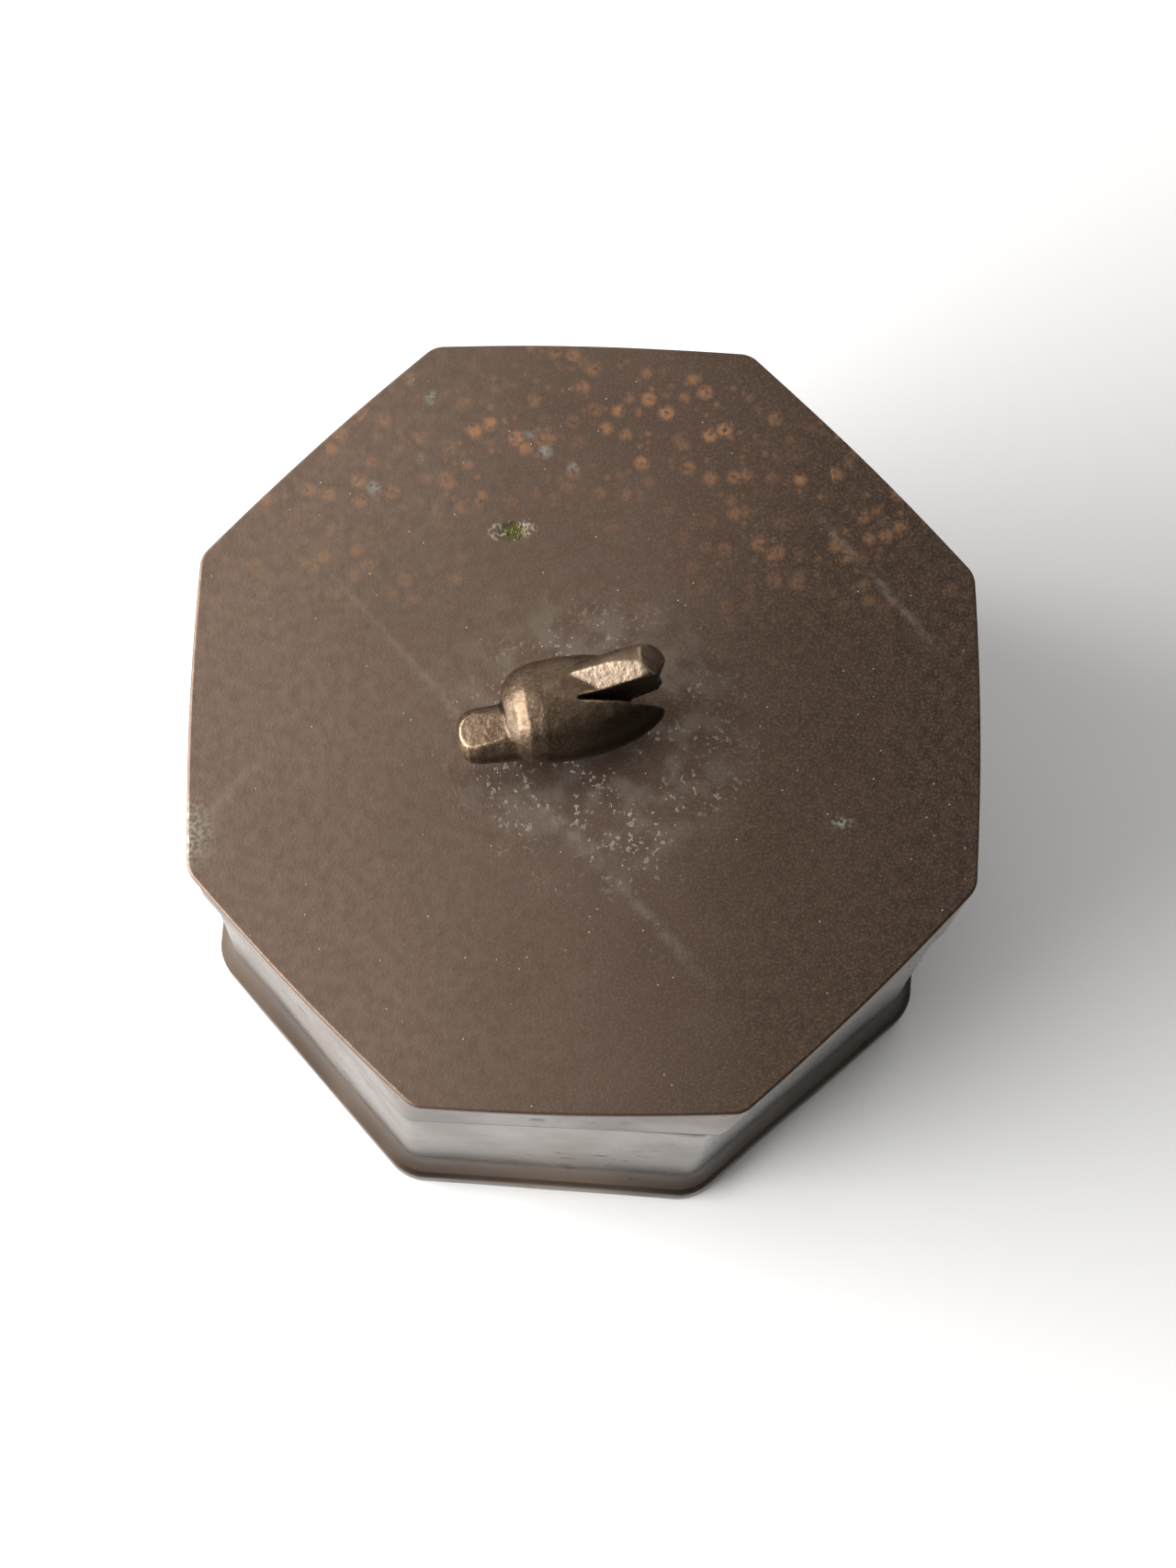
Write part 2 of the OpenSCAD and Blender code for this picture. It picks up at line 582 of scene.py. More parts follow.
@dataclass(frozen=True)
class LidPatina:
    """Matte brown patina of the lid's top, freckled, with pale specks round the knob, painted light on
    its left, painted shade on its right and painted glints by the pit.

    Places are in millimetres from the middle of the lid, in the frame of its turned plate.

    Attributes:
        turn: Turn of the lid's pattern in degrees.
        dark: Colour of the darker clouds.
        light: Colour of the lighter clouds.
        painted_lit_side: Colour of the painted light on the left side, which faces the window.
        painted_shade: Colour of the painted shade on the right side, away from the window.
        mottled: Colour of the fine mottling.
        scuffed: Colour of the scuffed grain.
        haze: Colour of the haze round the knob and of the scratches.
        freckle: Colour of the bare, copper-coloured freckles.
        dust_and_glint: Colour of the pale powder and specks, and of the painted glints by the pit.
        verdigris: Colour of the green pit.
        bloom: Colour of the pale bloom.
        clusters: Where the freckles crowd: for each patch its middle and its radius.
        pale_clusters: The same for the pale, grey-green blooms.
        glints: The same for the painted glints beside the pit, pale marks that stand in for highlights on
            its rims.
        pit: Middle of the green pit.
        scratches: For each long scratch its two ends and its half width.
        smudges: For each pale smudge its middle, its radius and how flat it is.
    """

    turn: float
    dark: Colour = (0.066, 0.041, 0.028)
    light: Colour = (0.106, 0.070, 0.051)
    painted_lit_side: Colour = (0.235, 0.172, 0.135)
    painted_shade: Colour = (0.034, 0.022, 0.016)
    mottled: Colour = (0.100, 0.060, 0.040)
    scuffed: Colour = (0.175, 0.132, 0.102)
    haze: Colour = (0.27, 0.23, 0.19)
    freckle: Colour = (0.36, 0.180, 0.090)
    dust_and_glint: Colour = (0.46, 0.42, 0.36)
    verdigris: Colour = (0.085, 0.085, 0.022)
    bloom: Colour = (0.34, 0.37, 0.31)
    clusters: tuple[Patch, ...] = (
        (4.5, 31, 6), (8, 35, 5), (13, 33, 6), (-10, 30, 6), (-11, 24, 3), (23, 26, 4),
    )
    pale_clusters: tuple[Patch, ...] = ((-15, 33, 6), (-20, 26, 5), (-4, 28, 5))
    glints: tuple[Patch, ...] = ((-9.4, 19.8, 1.3), (-6.2, 20.3, 1.2))
    pit: Place = (-7.8, 19.8)
    scratches: tuple[tuple[Place, Place, float], ...] = (
        ((-30, 19), (2, -16), 0.7), ((-14, 2), (15, -29), 1.1),
        ((22, 24), (37, 7), 0.8), ((-39, -11.5), (-32, -4.5), 0.8),
    )
    smudges: tuple[tuple[Place, float, float], ...] = (
        ((-39.8, -12.5), 3.6, 0.7), ((26, -10), 1.8, 2.0),
    )

    @staticmethod
    def patches(n: Nodes, places: tuple[Patch, ...]) -> Socket:
        """Returns the mask of soft round patches, full over two fifths of their radius."""
        return n.most(0.0, *(n.disc((x, y), reach * 0.4, reach) for x, y, reach in places))

    def freckles(self, n: Nodes) -> Socket:
        """Masks the freckles, which crowd the rear half in a few clusters.

        Args:
            n: The material's builder.

        Returns:
            The mask.
        """
        crowded = n.most(self.patches(n, self.clusters), self.rear(n))
        ragged = n.fade(n.noise(1.4, 3), 0.30, 0.54)
        large = n.spots(0.44, 0.14, 0.50, 0.75, 0.35)
        small = n.spots(0.85, 0.10, 0.45, 0.50)
        return n.product(n.most(large, n.product(small, 0.55)), crowded, ragged)

    def rear(self, n: Nodes) -> Socket:
        """Returns a mask that grows towards the rear of the lid."""
        return n.product(n.fade(n.y, 4, 24), n.fade(n.noise(0.09, 1), 0.36, 0.6), 0.6)

    def wear(self, n: Nodes, colour: Socket) -> Socket:
        """Lays the scratches, the haze round the knob and the pale smudges over a colour.

        Args:
            n: The material's builder.
            colour: The colour beneath.

        Returns:
            The colour with its wear.
        """
        near_knob = n.disc((0, -1), 6, 20)
        haze = n.product(near_knob, n.fade(n.noise(0.35, 4), 0.4, 0.65), 0.4)
        streaks = n.total(0.0, *(n.stroke(*scratch) for scratch in self.scratches))
        streaks = n.product(streaks, n.fade(n.noise(0.9, 3), 0.3, 0.65), 0.26)
        colour = n.mix(n.total(haze, streaks), colour, self.haze)
        smudge = n.most(0.0, *(n.disc(middle, 0, reach, flat) for middle, reach, flat in self.smudges))
        return n.cover(colour, self.bloom, 0.6, smudge, n.fade(n.noise(2.2, 3), 0.42, 0.6))

    def crumbs_and_glints(self, n: Nodes) -> Socket:
        """Masks the pale specks, which gather round the knob, and the painted glints beside the pit.

        Args:
            n: The material's builder.

        Returns:
            The mask.
        """
        near_knob = n.disc((2, -3), 6, 19)
        specks = n.spots(1.3, 0.03, 0.16, n.total(0.06, n.product(near_knob, 0.35)))
        flakes = n.product(
            n.fade(n.noise(1.9, 3), 0.58, 0.66), n.fade(n.noise(0.3, 2), 0.42, 0.6), near_knob, 0.65
        )
        # Painted glints: pale marks on the pit's rims that stand in for highlights.
        glints = n.product(self.patches(n, self.glints), n.fade(n.noise(2.6, 2), 0.5, 0.62), 0.6)
        return n.most(specks, flakes, glints)

    def material(self) -> Material:
        """Builds the material.

        Returns:
            The finished material.
        """
        n = Nodes("lid_patina", self.turn)
        clouds = n.fade(n.noise(0.07, 3), 0.3, 0.7)
        mottle = n.fade(n.noise(0.8, 5), 0.3, 0.7)
        grain = n.noise(4.0, 3)
        # Painted light: the colour grows lighter towards the left, the window side.
        lit_left = n.fade(n.total(n.x, n.product(n.noise(0.05, 2), 30)), 45, -20)
        colour = n.mix(n.product(n.total(clouds, lit_left), 0.5), self.dark, self.light)
        colour = n.cover(colour, self.painted_lit_side, 0.55, lit_left)
        # Painted shade: darker towards the right, away from the window.
        colour = n.cover(colour, self.painted_shade, 0.9, n.fade(n.x, 2, 42))
        colour = n.cover(colour, self.mottled, 0.4, mottle)
        colour = n.cover(colour, self.scuffed, 0.35, n.fade(grain, 0.45, 0.70))
        freckles = self.freckles(n)
        colour = n.cover(colour, self.freckle, 0.7, freckles)
        blooms = n.product(n.spots(0.4, 0.1, 0.45, 0.5, 0.5), self.patches(n, self.pale_clusters))
        colour = n.cover(colour, self.bloom, 0.6, blooms, n.fade(n.noise(1.4, 3), 0.35, 0.6))
        colour = self.wear(n, colour)
        pit = n.product(n.disc(self.pit, 0.6, 2.0, 1.4), n.fade(n.noise(1.8, 2), 0.25, 0.55))
        colour = n.cover(colour, self.verdigris, 0.9, pit)
        # Pale specks, with the painted glints by the pit.
        specks_and_glints = self.crumbs_and_glints(n)
        colour = n.cover(colour, self.dust_and_glint, 0.8, specks_and_glints)
        rough = n.blend(n.noise(0.5, 4), 0.43, 0.53)
        rough = n.blend(n.most(specks_and_glints, n.product(freckles, 0.5)), rough, 0.8)
        pressed = n.calc("SUBTRACT", 1.0, pit)
        n.bump((n.noise(1.1, 4), 0.03), (grain, 0.022), (specks_and_glints, 0.05), (pressed, 0.2))
        return n.finish(colour, rough, 0.85)


@dataclass(frozen=True)
class WallPatina:
    """Smoother, hand-worn patina of the sides, which picks up soft reflections, with painted shade low on
    the right and under the lid's skirt.

    Attributes:
        name: Name of the material.
        dark: Colour of the darker clouds.
        light: Colour of the lighter clouds.
        smear: Colour of the broad smears.
        stain: Colour of the dark stains.
        speck: Colour of the pale specks.
        grime_and_shade: Colour of dirt in the seam, of the painted shadow under the lid's skirt and of
            the painted shade low on the right.
        shine: Roughness where the surface is worn bright.
        dull: Roughness where it is dull.
        seam: Height of the seam between lid and wall, where dirt gathers and painted shadow falls under
            the skirt, in millimetres.
    """

    name: str
    dark: Colour = (0.080, 0.058, 0.044)
    light: Colour = (0.135, 0.102, 0.080)
    smear: Colour = (0.17, 0.135, 0.11)
    stain: Colour = (0.060, 0.036, 0.020)
    speck: Colour = (0.36, 0.33, 0.27)
    grime_and_shade: Colour = (0.010, 0.007, 0.005)
    shine: float = 0.26
    dull: float = 0.36
    seam: float = 48.2

    def material(self) -> Material:
        """Builds the material.

        Returns:
            The finished material.
        """
        n = Nodes(self.name)
        clouds = n.fade(n.noise(0.05, 2), 0.3, 0.7)
        smears = n.fade(n.noise(0.12, 2, (1, 1, 0.5)), 0.4, 0.7)
        stained = n.fade(n.noise(0.06, 1), 0.5, 0.6)
        stains = n.product(n.fade(n.noise(0.3, 4, (1, 1, 1.4)), 0.62, 0.72), stained)
        specks = n.spots(0.9, 0.04, 0.2, 0.06)
        colour = n.mix(clouds, self.dark, self.light)
        colour = n.cover(colour, self.smear, 0.3, smears)
        colour = n.cover(colour, self.stain, 0.7, stains)
        colour = n.cover(colour, self.speck, 0.5, specks)
        # Dark band up to 3 mm below the seam: dirt in the seam and painted shadow under the skirt's
        # overhang.
        below = n.calc("SUBTRACT", self.seam, n.z)
        grime_and_shade = n.product(n.fade(below, 3.0, 0.4), n.fade(below, -0.7, -0.2))
        # Painted shade: darker low down on the right and front sides, away from the window.
        painted_shade = n.fade(n.calc("SUBTRACT", n.x, n.product(n.y, 0.6)), 20, 48)
        painted_shade = n.product(painted_shade, n.fade(n.z, 42, 10), 0.8)
        colour = n.mix(n.most(n.product(grime_and_shade, 0.6), painted_shade), colour, self.grime_and_shade)
        rough = n.blend(smears, self.shine, self.dull)
        rough = n.blend(n.most(stains, specks, grime_and_shade), rough, 0.6)
        n.bump((n.noise(0.3, 2), 0.02), (n.noise(2.5, 3), 0.002))
        return n.finish(colour, rough, 0.85)


@dataclass(frozen=True)
class CastBronze:
    """Grainy casting with filed flats, dark hollows, worn edges and painted shade on its right side.

    Attributes:
        skin: Colour of the cast skin.
        skin_light: Colour of its lighter clouds.
        grit: Colour of its coarse grain.
        hollow: Colour of dirt in the hollows, also used for the painted shade on the side away from the
            window.
        worn: Colour of the worn edges.
        bare: Colour of the filed flats.
    """

    skin: Colour = (0.088, 0.056, 0.036)
    skin_light: Colour = (0.155, 0.108, 0.072)
    grit: Colour = (0.26, 0.21, 0.155)
    hollow: Colour = (0.030, 0.019, 0.012)
    worn: Colour = (0.36, 0.26, 0.175)
    bare: Colour = (0.50, 0.385, 0.29)

    def material(self) -> Material:
        """Builds the material.

        Returns:
            The finished material.
        """
        n = Nodes("cast_bronze")
        grain = n.noise(3.2, 4)
        clouds = n.fade(n.noise(0.5, 3), 0.3, 0.7)
        colour = n.mix(clouds, self.skin, self.skin_light)
        colour = n.cover(colour, self.grit, 0.35, n.fade(grain, 0.5, 0.72))
        colour = n.cover(colour, self.hollow, 0.85, n.fade(n.attribute("hollow"), 0.15, 0.8))
        wear = n.product(n.fade(n.attribute("wear"), 0.25, 0.8), n.fade(n.noise(0.9, 3), 0.3, 0.55))
        colour = n.mix(wear, colour, self.worn)
        # Painted shade: darker towards the right and front, away from the window.
        painted_shade = n.fade(n.calc("SUBTRACT", n.x, n.product(n.y, 0.9)), -1, 7)
        colour = n.cover(colour, self.hollow, 0.9, painted_shade)
        filed = n.product(n.attribute("filed"), n.blend(n.fade(n.noise(1.5, 4), 0.3, 0.6), 0.55, 1.0))
        colour = n.mix(filed, colour, self.bare)
        rough = n.blend(wear, n.blend(grain, 0.36, 0.50), 0.34)
        n.bump((grain, 0.045), (n.noise(1.2, 2), 0.03))
        return n.finish(colour, rough, 0.95)


@dataclass(frozen=True)
class DullBrass:
    """Unpolished metal of the parts inside.

    Attributes:
        name: Name of the material.
        base: Main colour.
        tarnish: Colour of the tarnish that clouds it.
        spot: Colour of its dark spots.
    """

    name: str
    base: Colour
    tarnish: Colour
    spot: Colour = (0.06, 0.038, 0.024)

    def material(self) -> Material:
        """Builds the material.

        Returns:
            The finished material.
        """
        n = Nodes(self.name)
        clouds = n.fade(n.noise(0.22, 5), 0.35, 0.66)
        colour = n.mix(clouds, self.base, self.tarnish)
        colour = n.cover(colour, self.spot, 0.5, n.spots(0.5, 0.08, 0.4, 0.25))
        rough = n.blend(clouds, 0.34, 0.58)
        n.bump((n.noise(0.9, 4), 0.03), (n.noise(5.0, 2), 0.006))
        return n.finish(colour, rough, 0.9)


@dataclass(frozen=True)
class WellGlass:
    """Old pressed glass, slightly green, with a faint film of dry ink.

    Attributes:
        tint: Colour of the glass.
        ink: Colour of the dry ink.
        ink_top: Height up to which the ink has dried on, in millimetres.
        bend: Refractive index of the glass.
    """

    tint: Colour = (0.86, 0.94, 0.91)
    ink: Colour = (0.06, 0.07, 0.11)
    ink_top: float = 19.0
    bend: float = 1.5

    def material(self) -> Material:
        """Builds the material.

        Returns:
            The finished material.
        """
        n = Nodes("well_glass")
        line = n.total(n.z, n.product(n.noise(0.25, 3), 5.0))
        film = n.product(n.fade(line, self.ink_top + 4, self.ink_top), n.fade(n.noise(0.5, 4), 0.35, 0.7))
        colour = n.cover(self.tint, self.ink, 0.8, film)
        rough = n.blend(film, 0.04, 0.35)
        n.shader.inputs["Transmission Weight"].default_value = 1.0
        n.shader.inputs["IOR"].default_value = self.bend
        n.bump((n.noise(0.12, 2), 0.15))
        return n.finish(colour, rough, 0.0)


@dataclass(frozen=True)
class TableTop:
    """Plain pale surface that the inkwell stands on.

    Attributes:
        pale: Main colour.
        cloud: Colour of its faint clouds.
    """

    pale: Colour = (0.81, 0.815, 0.82)
    cloud: Colour = (0.76, 0.76, 0.76)

    def material(self) -> Material:
        """Builds the material.

        Returns:
            The finished material.
        """
        n = Nodes("table_top")
        return n.finish(n.cover(self.pale, self.cloud, 0.1, n.noise(0.01, 2)), 0.65, 0.0)


# ---------------------------------------------------------------- the pieces


class Body(Enum):
    """Bodies of the CAD model that pieces ride on."""

    CASE = "case"
    GLASS = "glass"
    LID = "lid"


def hand_in(
    obj: Piece, body: Body, slot: str, material: Material, *nodes: str
) -> None:
    """Dresses a piece, rides it on its body and lets it stand for its CAD nodes.

    Args:
        obj: The finished piece.
        body: The body that it rides on.
        slot: The record's material slot. Not used.
        material: Its material.
        nodes: The CAD nodes that it stands for.
    """
    obj.data.materials.clear()
    obj.data.materials.append(material)
    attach(obj, body.value)
    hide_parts(*nodes)
    LOG.info("%s: %d faces on %s", obj.name, len(obj.data.polygons), body.value)


def plain_ring(name: str, node: str, sheet: float, points: int) -> Piece:
    """Builds a plain round ring that fills a CAD node's box.

    Args:
        name: Name of the piece.
        node: Name of the CAD node.
        sheet: Distance from its outside to its hole, in metres.
        points: Number of points round the axis.

    Returns:
        The new object.
    """
    low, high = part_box(node)
    hole = high.x - sheet
    profile = [(high.x, low.z), (high.x, high.z), (hole, high.z), (hole, low.z)]
    return carry_round(name, Outline(corners=points), profile)


@dataclass
class Case:
    """Soldered sheet case: foot, bottom, wall, rim strip, deck and collar.

    Attributes:
        corner_cut: How far the bends of the sheet cut the corners back, in metres.
        foot_cut: The same for the worn corners of the foot, in metres.
        cove_radius: Radius of the foot's hollow curve, in metres.
        lip_rounding: Rounding of the foot's lip, in metres.
        sheet_rounding: Rounding of the sheet's cut edges, in metres.
        uneven: Depth of the unevenness of the sheet, in metres.
        swell: Size of its swells, in metres.
        collar_sheet: Thickness of the collar's sheet, in metres.
        deck_sharp: Angle above which an edge of the deck stays sharp, in degrees.
        base: Finish of the foot and the bottom.
        outside: Finish of the wall.
        inside: Finish of the rim strip, the deck and the collar.
    """

    corner_cut: float = 0.9 * MM
    foot_cut: float = 1.9 * MM
    cove_radius: float = 8 * MM
    lip_rounding: float = 0.5 * MM
    sheet_rounding: float = 0.3 * MM
    uneven: float = 0.3 * MM
    swell: float = 14 * MM
    collar_sheet: float = 1 * MM
    deck_sharp: float = 30
    base: WallPatina = field(
        default_factory=lambda: WallPatina(
            "foot_patina", dark=(0.068, 0.046, 0.033), light=(0.130, 0.094, 0.068), shine=0.32, dull=0.45,
        )
    )
    outside: WallPatina = field(default_factory=lambda: WallPatina("wall_patina"))
    inside: DullBrass = field(
        default_factory=lambda: DullBrass("inside_metal", (0.30, 0.21, 0.12), (0.15, 0.10, 0.065))
    )

    def foot(self, material: Material) -> None:
        """Builds the coved ring under the wall.

        Args:
            material: Its finish.
        """
        low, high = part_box("foot_moulding")
        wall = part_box("case_wall")[1].x
        plate_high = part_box("base_plate")[1]
        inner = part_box("well_deck")[1].x
        turn = self.lip_rounding
        centre = (wall + self.cove_radius, high.z)
        lip = math.degrees(math.acos((centre[0] - high.x + turn) / self.cove_radius))
        cove = arc(centre, self.cove_radius, 180 + lip, 180, 14)
        shoulder = cove[0][1] - turn / 2
        profile = arc((high.x - turn, low.z + turn), turn, -90, 0, 4)
        profile += [(high.x, shoulder - turn / 2), (high.x - turn / 4, shoulder), *cove]
        profile += [(inner, high.z), (inner, plate_high.z), (plate_high.x, plate_high.z)]
        profile += [(plate_high.x, low.z)]
        foot = carry_round("foot_ring", Outline(corner_cut=self.foot_cut, side_cuts=10), profile)
        warp_sideways(foot, self.uneven, self.swell)
        hand_in(foot, Body.CASE, "bronze_case", material, "foot_moulding")

    def bottom(self, material: Material) -> None:
        """Builds the bottom plate with its broken edge.

        Args:
            material: Its finish.
        """
        low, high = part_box("base_plate")
        rings = [high.x * share for share in (0.02, 0.35, 0.7)]
        profile = [(high.x, low.z), (high.x, high.z)]
        profile += [(half, high.z) for half in reversed(rings)] + [(half, low.z) for half in rings]
        plate = carry_round("bottom_plate", Outline(side_cuts=6), profile)
        round_edges(plate, self.sheet_rounding)
        warp_sideways(plate, self.uneven, self.swell)
        hand_in(plate, Body.CASE, "bronze_case", material, "base_plate")

    def strip(
        self, name: str, node: str, half_in: float, material: Material, slot: str
    ) -> None:
        """Builds an upright eight-sided strip bent from sheet.

        Args:
            name: Name of the piece.
            node: CAD node that it stands for.
            half_in: Half width of its inside across the flats, in metres.
            material: Its finish.
            slot: The record's material slot.
        """
        low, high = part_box(node)
        turn = self.sheet_rounding
        levels = spread(low.z, high.z - turn, 8)
        profile = [(high.x, z) for z in levels]
        profile += arc((high.x - turn, high.z - turn), turn, 0, 90, 4)[1:]
        profile += arc((half_in + turn, high.z - turn), turn, 90, 180, 4)
        profile += [(half_in, z) for z in reversed(levels[:-1])]
        strip = carry_round(name, Outline(corner_cut=self.corner_cut, side_cuts=10), profile)
        warp_sideways(strip, self.uneven, self.swell)
        hand_in(strip, Body.CASE, slot, material, node)

    def deck(self, material: Material) -> None:
        """Builds the deck plate and the collar that hangs under its hole.

        Args:
            material: Their finish.
        """
        collar = plain_ring("well_collar_tube", "well_collar", self.collar_sheet, 96)
        round_edges(collar, self.sheet_rounding)
        finish_mesh(collar)
        hand_in(collar, Body.CASE, "bronze_inside", material, "well_collar")
        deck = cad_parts["well_deck"].copy()
        deck.data = deck.data.copy()
        deck.name = deck.data.name = "deck_plate"
        for key in list(deck.keys()):
            del deck[key]
        deck.parent = None
        bpy.context.scene.collection.objects.link(deck)
        finish_mesh(deck, self.deck_sharp)
        round_edges(deck, self.sheet_rounding)
        finish_mesh(deck, self.deck_sharp)
        hand_in(deck, Body.CASE, "bronze_inside", material, "well_deck")

    def build(self) -> None:
        """Builds and dresses the whole case."""
        outside = self.outside.material()
        inside = self.inside.material()
        base = self.base.material()
        self.foot(base)
        self.bottom(base)
        self.strip("wall", "case_wall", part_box("rim_strip")[1].x, outside, "bronze_case")
        self.strip("rim", "rim_strip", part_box("well_deck")[1].x, inside, "bronze_inside")
        self.deck(inside)


@dataclass
class Well:
    """Round glass cup with a flange that hangs in the deck.

    Attributes:
        wall: Thickness of the glass, in metres.
        floor: Thickness of its bottom, in metres.
        flange: Thickness of the flange, in metres.
        rim_rounding: Rounding of the flange's edges, in metres.
        foot_rounding: Rounding at the bottom, in metres.
        inset: Distance from the outside of the collar to the glass, in metres.
        glass: Its finish.
    """

    wall: float = 4 * MM
    floor: float = 4 * MM
    flange: float = 2.2 * MM
    rim_rounding: float = 0.7 * MM
    foot_rounding: float = 2 * MM
    inset: float = 1.3 * MM
    glass: WellGlass = field(default_factory=WellGlass)

    def build(self) -> None:
        """Builds and dresses the glass."""
        low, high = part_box("glass_well")
        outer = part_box("well_collar")[1].x - self.inset
        inner = outer - self.wall
        seat = high.z - self.flange
        bottom = low.z + self.floor
        turn = self.foot_rounding
        rim = self.rim_rounding
        profile = [(outer * share, low.z) for share in (0.1, 0.5)]
        profile += arc((outer - turn, low.z + turn), turn, -90, 0, 5)
        profile += [(outer, seat), (high.x - rim / 2, seat)]
        profile += arc((high.x - rim, high.z - rim), rim, 0, 90, 5)
        profile += arc((inner + rim, high.z - rim), rim, 90, 180, 5)
        profile += arc((inner - 2 * turn, bottom + 2 * turn), 2 * turn, 0, -90, 8)
        profile += [(inner * share, bottom) for share in (0.5, 0.1)]
        cup = turn_solid("glass_cup", profile)
        hand_in(cup, Body.GLASS, "well_glass", self.glass.material(), "glass_well")


@dataclass
class Lid:
    """Flat lid plate on a skirt, with the knob's washer, nut and stud beneath.

    Attributes:
        plate_turn: Turn of the plate against the case, in degrees.
        skirt_turn: Turn of the skirt against the case, in degrees.
        corner_cut: How far the plate's corners are cut back before rounding, in metres.
        bend_cut: The same for the skirt's bends, in metres.
        worn_edge: Rounding of the plate's edges, in metres.
        uneven: Depth of the plate's unevenness, in metres.
        swell: Size of its swells, in metres.
        bow: Share by which the sides of the plate bow towards a circle.
        skirt_sheet: Thickness of the skirt's sheet, in metres.
        hole: Radius of the plate's hole, in metres.
        washer_gap: Gap between the stud and the washer, in metres.
        washer_rounding: Rounding of the washer's edges, in metres.
        nut_half: Half width of the nut across its flats, in metres.
        nut_chamfer: Chamfer of the nut, in metres.
        nut_rounding: Rounding of the nut's edges, in metres.
        pitch: Distance between the ridges of the stud's thread, in metres.
        thread_depth: Depth of the thread, in metres.
        side: Finish of the skirt.
        brass: Finish of the fasteners.
    """

    plate_turn: float = 3.1
    skirt_turn: float = 1.5
    corner_cut: float = 0.9 * MM
    bend_cut: float = 0.8 * MM
    worn_edge: float = 0.35 * MM
    uneven: float = 0.12 * MM
    swell: float = 22 * MM
    bow: float = 0.15
    skirt_sheet: float = 1 * MM
    hole: float = 1.7 * MM
    washer_gap: float = 0.2 * MM
    washer_rounding: float = 0.15 * MM
    nut_half: float = 2.75 * MM
    nut_chamfer: float = 0.3 * MM
    nut_rounding: float = 0.08 * MM
    pitch: float = 0.5 * MM
    thread_depth: float = 0.25 * MM
    side: WallPatina = field(
        default_factory=lambda: WallPatina(
            "skirt_patina", (0.060, 0.043, 0.033), (0.100, 0.074, 0.058), shine=0.30, dull=0.42
        )
    )
    brass: DullBrass = field(
        default_factory=lambda: DullBrass("old_brass", (0.42, 0.31, 0.15), (0.20, 0.14, 0.07))
    )

    def plate(self) -> None:
        """Builds the plate, with loops all over its top for its unevenness."""
        low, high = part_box("lid_plate")
        half = flat_half_width("lid_plate", self.plate_turn)
        rings = spread(self.hole, half * 0.97, 16)
        profile = [(half, low.z), (half, high.z)]
        profile += [(ring, high.z) for ring in reversed(rings)] + [(ring, low.z) for ring in rings]
        outline = Outline(
            corner_cut=self.corner_cut, side_cuts=12, turn=self.plate_turn, bow=self.bow
        )
        plate = carry_round("lid_top", outline, profile)
        round_edges(plate, self.worn_edge, 4)
        make_uneven(plate, self.uneven, self.swell)
        finish_mesh(plate)
        patina = LidPatina(turn=self.plate_turn).material()
        hand_in(plate, Body.LID, "bronze_lid", patina, "lid_plate")

    def skirt(self) -> None:
        """Builds the band under the plate."""
        low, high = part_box("lid_skirt")
        half = flat_half_width("lid_skirt", self.skirt_turn)
        levels = spread(low.z, high.z, 5)
        inner = half - self.skirt_sheet
        profile = [(half, z) for z in levels] + [(inner, z) for z in reversed(levels)]
        outline = Outline(corner_cut=self.bend_cut, side_cuts=10, turn=self.skirt_turn)
        band = carry_round("lid_band", outline, profile)
        round_edges(band, self.worn_edge / 2)
        warp_sideways(band, self.uneven, self.swell)
        hand_in(band, Body.LID, "bronze_case", self.side.material(), "lid_skirt")

    def fasteners(self) -> None:
        """Builds the washer, the nut and the threaded stud."""
        brass = self.brass.material()
        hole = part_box("knob_stud")[1].x + self.washer_gap
        washer = plain_ring("washer", "knob_washer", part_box("knob_washer")[1].x - hole, 48)
        round_edges(washer, self.washer_rounding)
        finish_mesh(washer)
        hand_in(washer, Body.LID, "old_brass", brass, "knob_washer")
        self.nut(brass)
        self.stud(brass)

    def nut(self, brass: Material) -> None:
        """Builds the six-sided nut.

        Args:
            brass: Its finish.
        """
        low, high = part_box("knob_nut")
        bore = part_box("knob_stud")[1].x
        half = self.nut_half
        chamfer = self.nut_chamfer
        profile = [(half, low.z + chamfer), (half, high.z - chamfer), (half - chamfer, high.z)]
        profile += [(bore, high.z), (bore, low.z), (half - chamfer, low.z)]
        nut = carry_round("nut", Outline(corners=6, turn=self.plate_turn), profile)
        round_edges(nut, self.nut_rounding, 2)
        finish_mesh(nut)
        hand_in(nut, Body.LID, "old_brass", brass, "knob_nut")

    def stud(self, brass: Material) -> None:
        """Builds the stud with its thread as a stack of ridges.

        Args:
            brass: Its finish.
        """
        low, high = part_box("knob_stud")
        pitch = self.pitch
        crest = high.x
        root = crest - self.thread_depth
        middle = 0.4 * crest
        profile = [(middle, low.z), (root, low.z)]
        for turn in range(int((high.z - low.z) / pitch)):
            z = low.z + turn * pitch
            profile += [(crest, z + 0.5 * pitch), (root, z + pitch)]
        profile += [(root, high.z), (middle, high.z)]
        stud = turn_solid("stud", profile, 32)
        hand_in(stud, Body.LID, "old_brass", brass, "knob_stud")

    def build(self) -> None:
        """Builds and dresses the whole lid but its knob."""
        self.plate()
        self.skirt()
        self.fasteners()


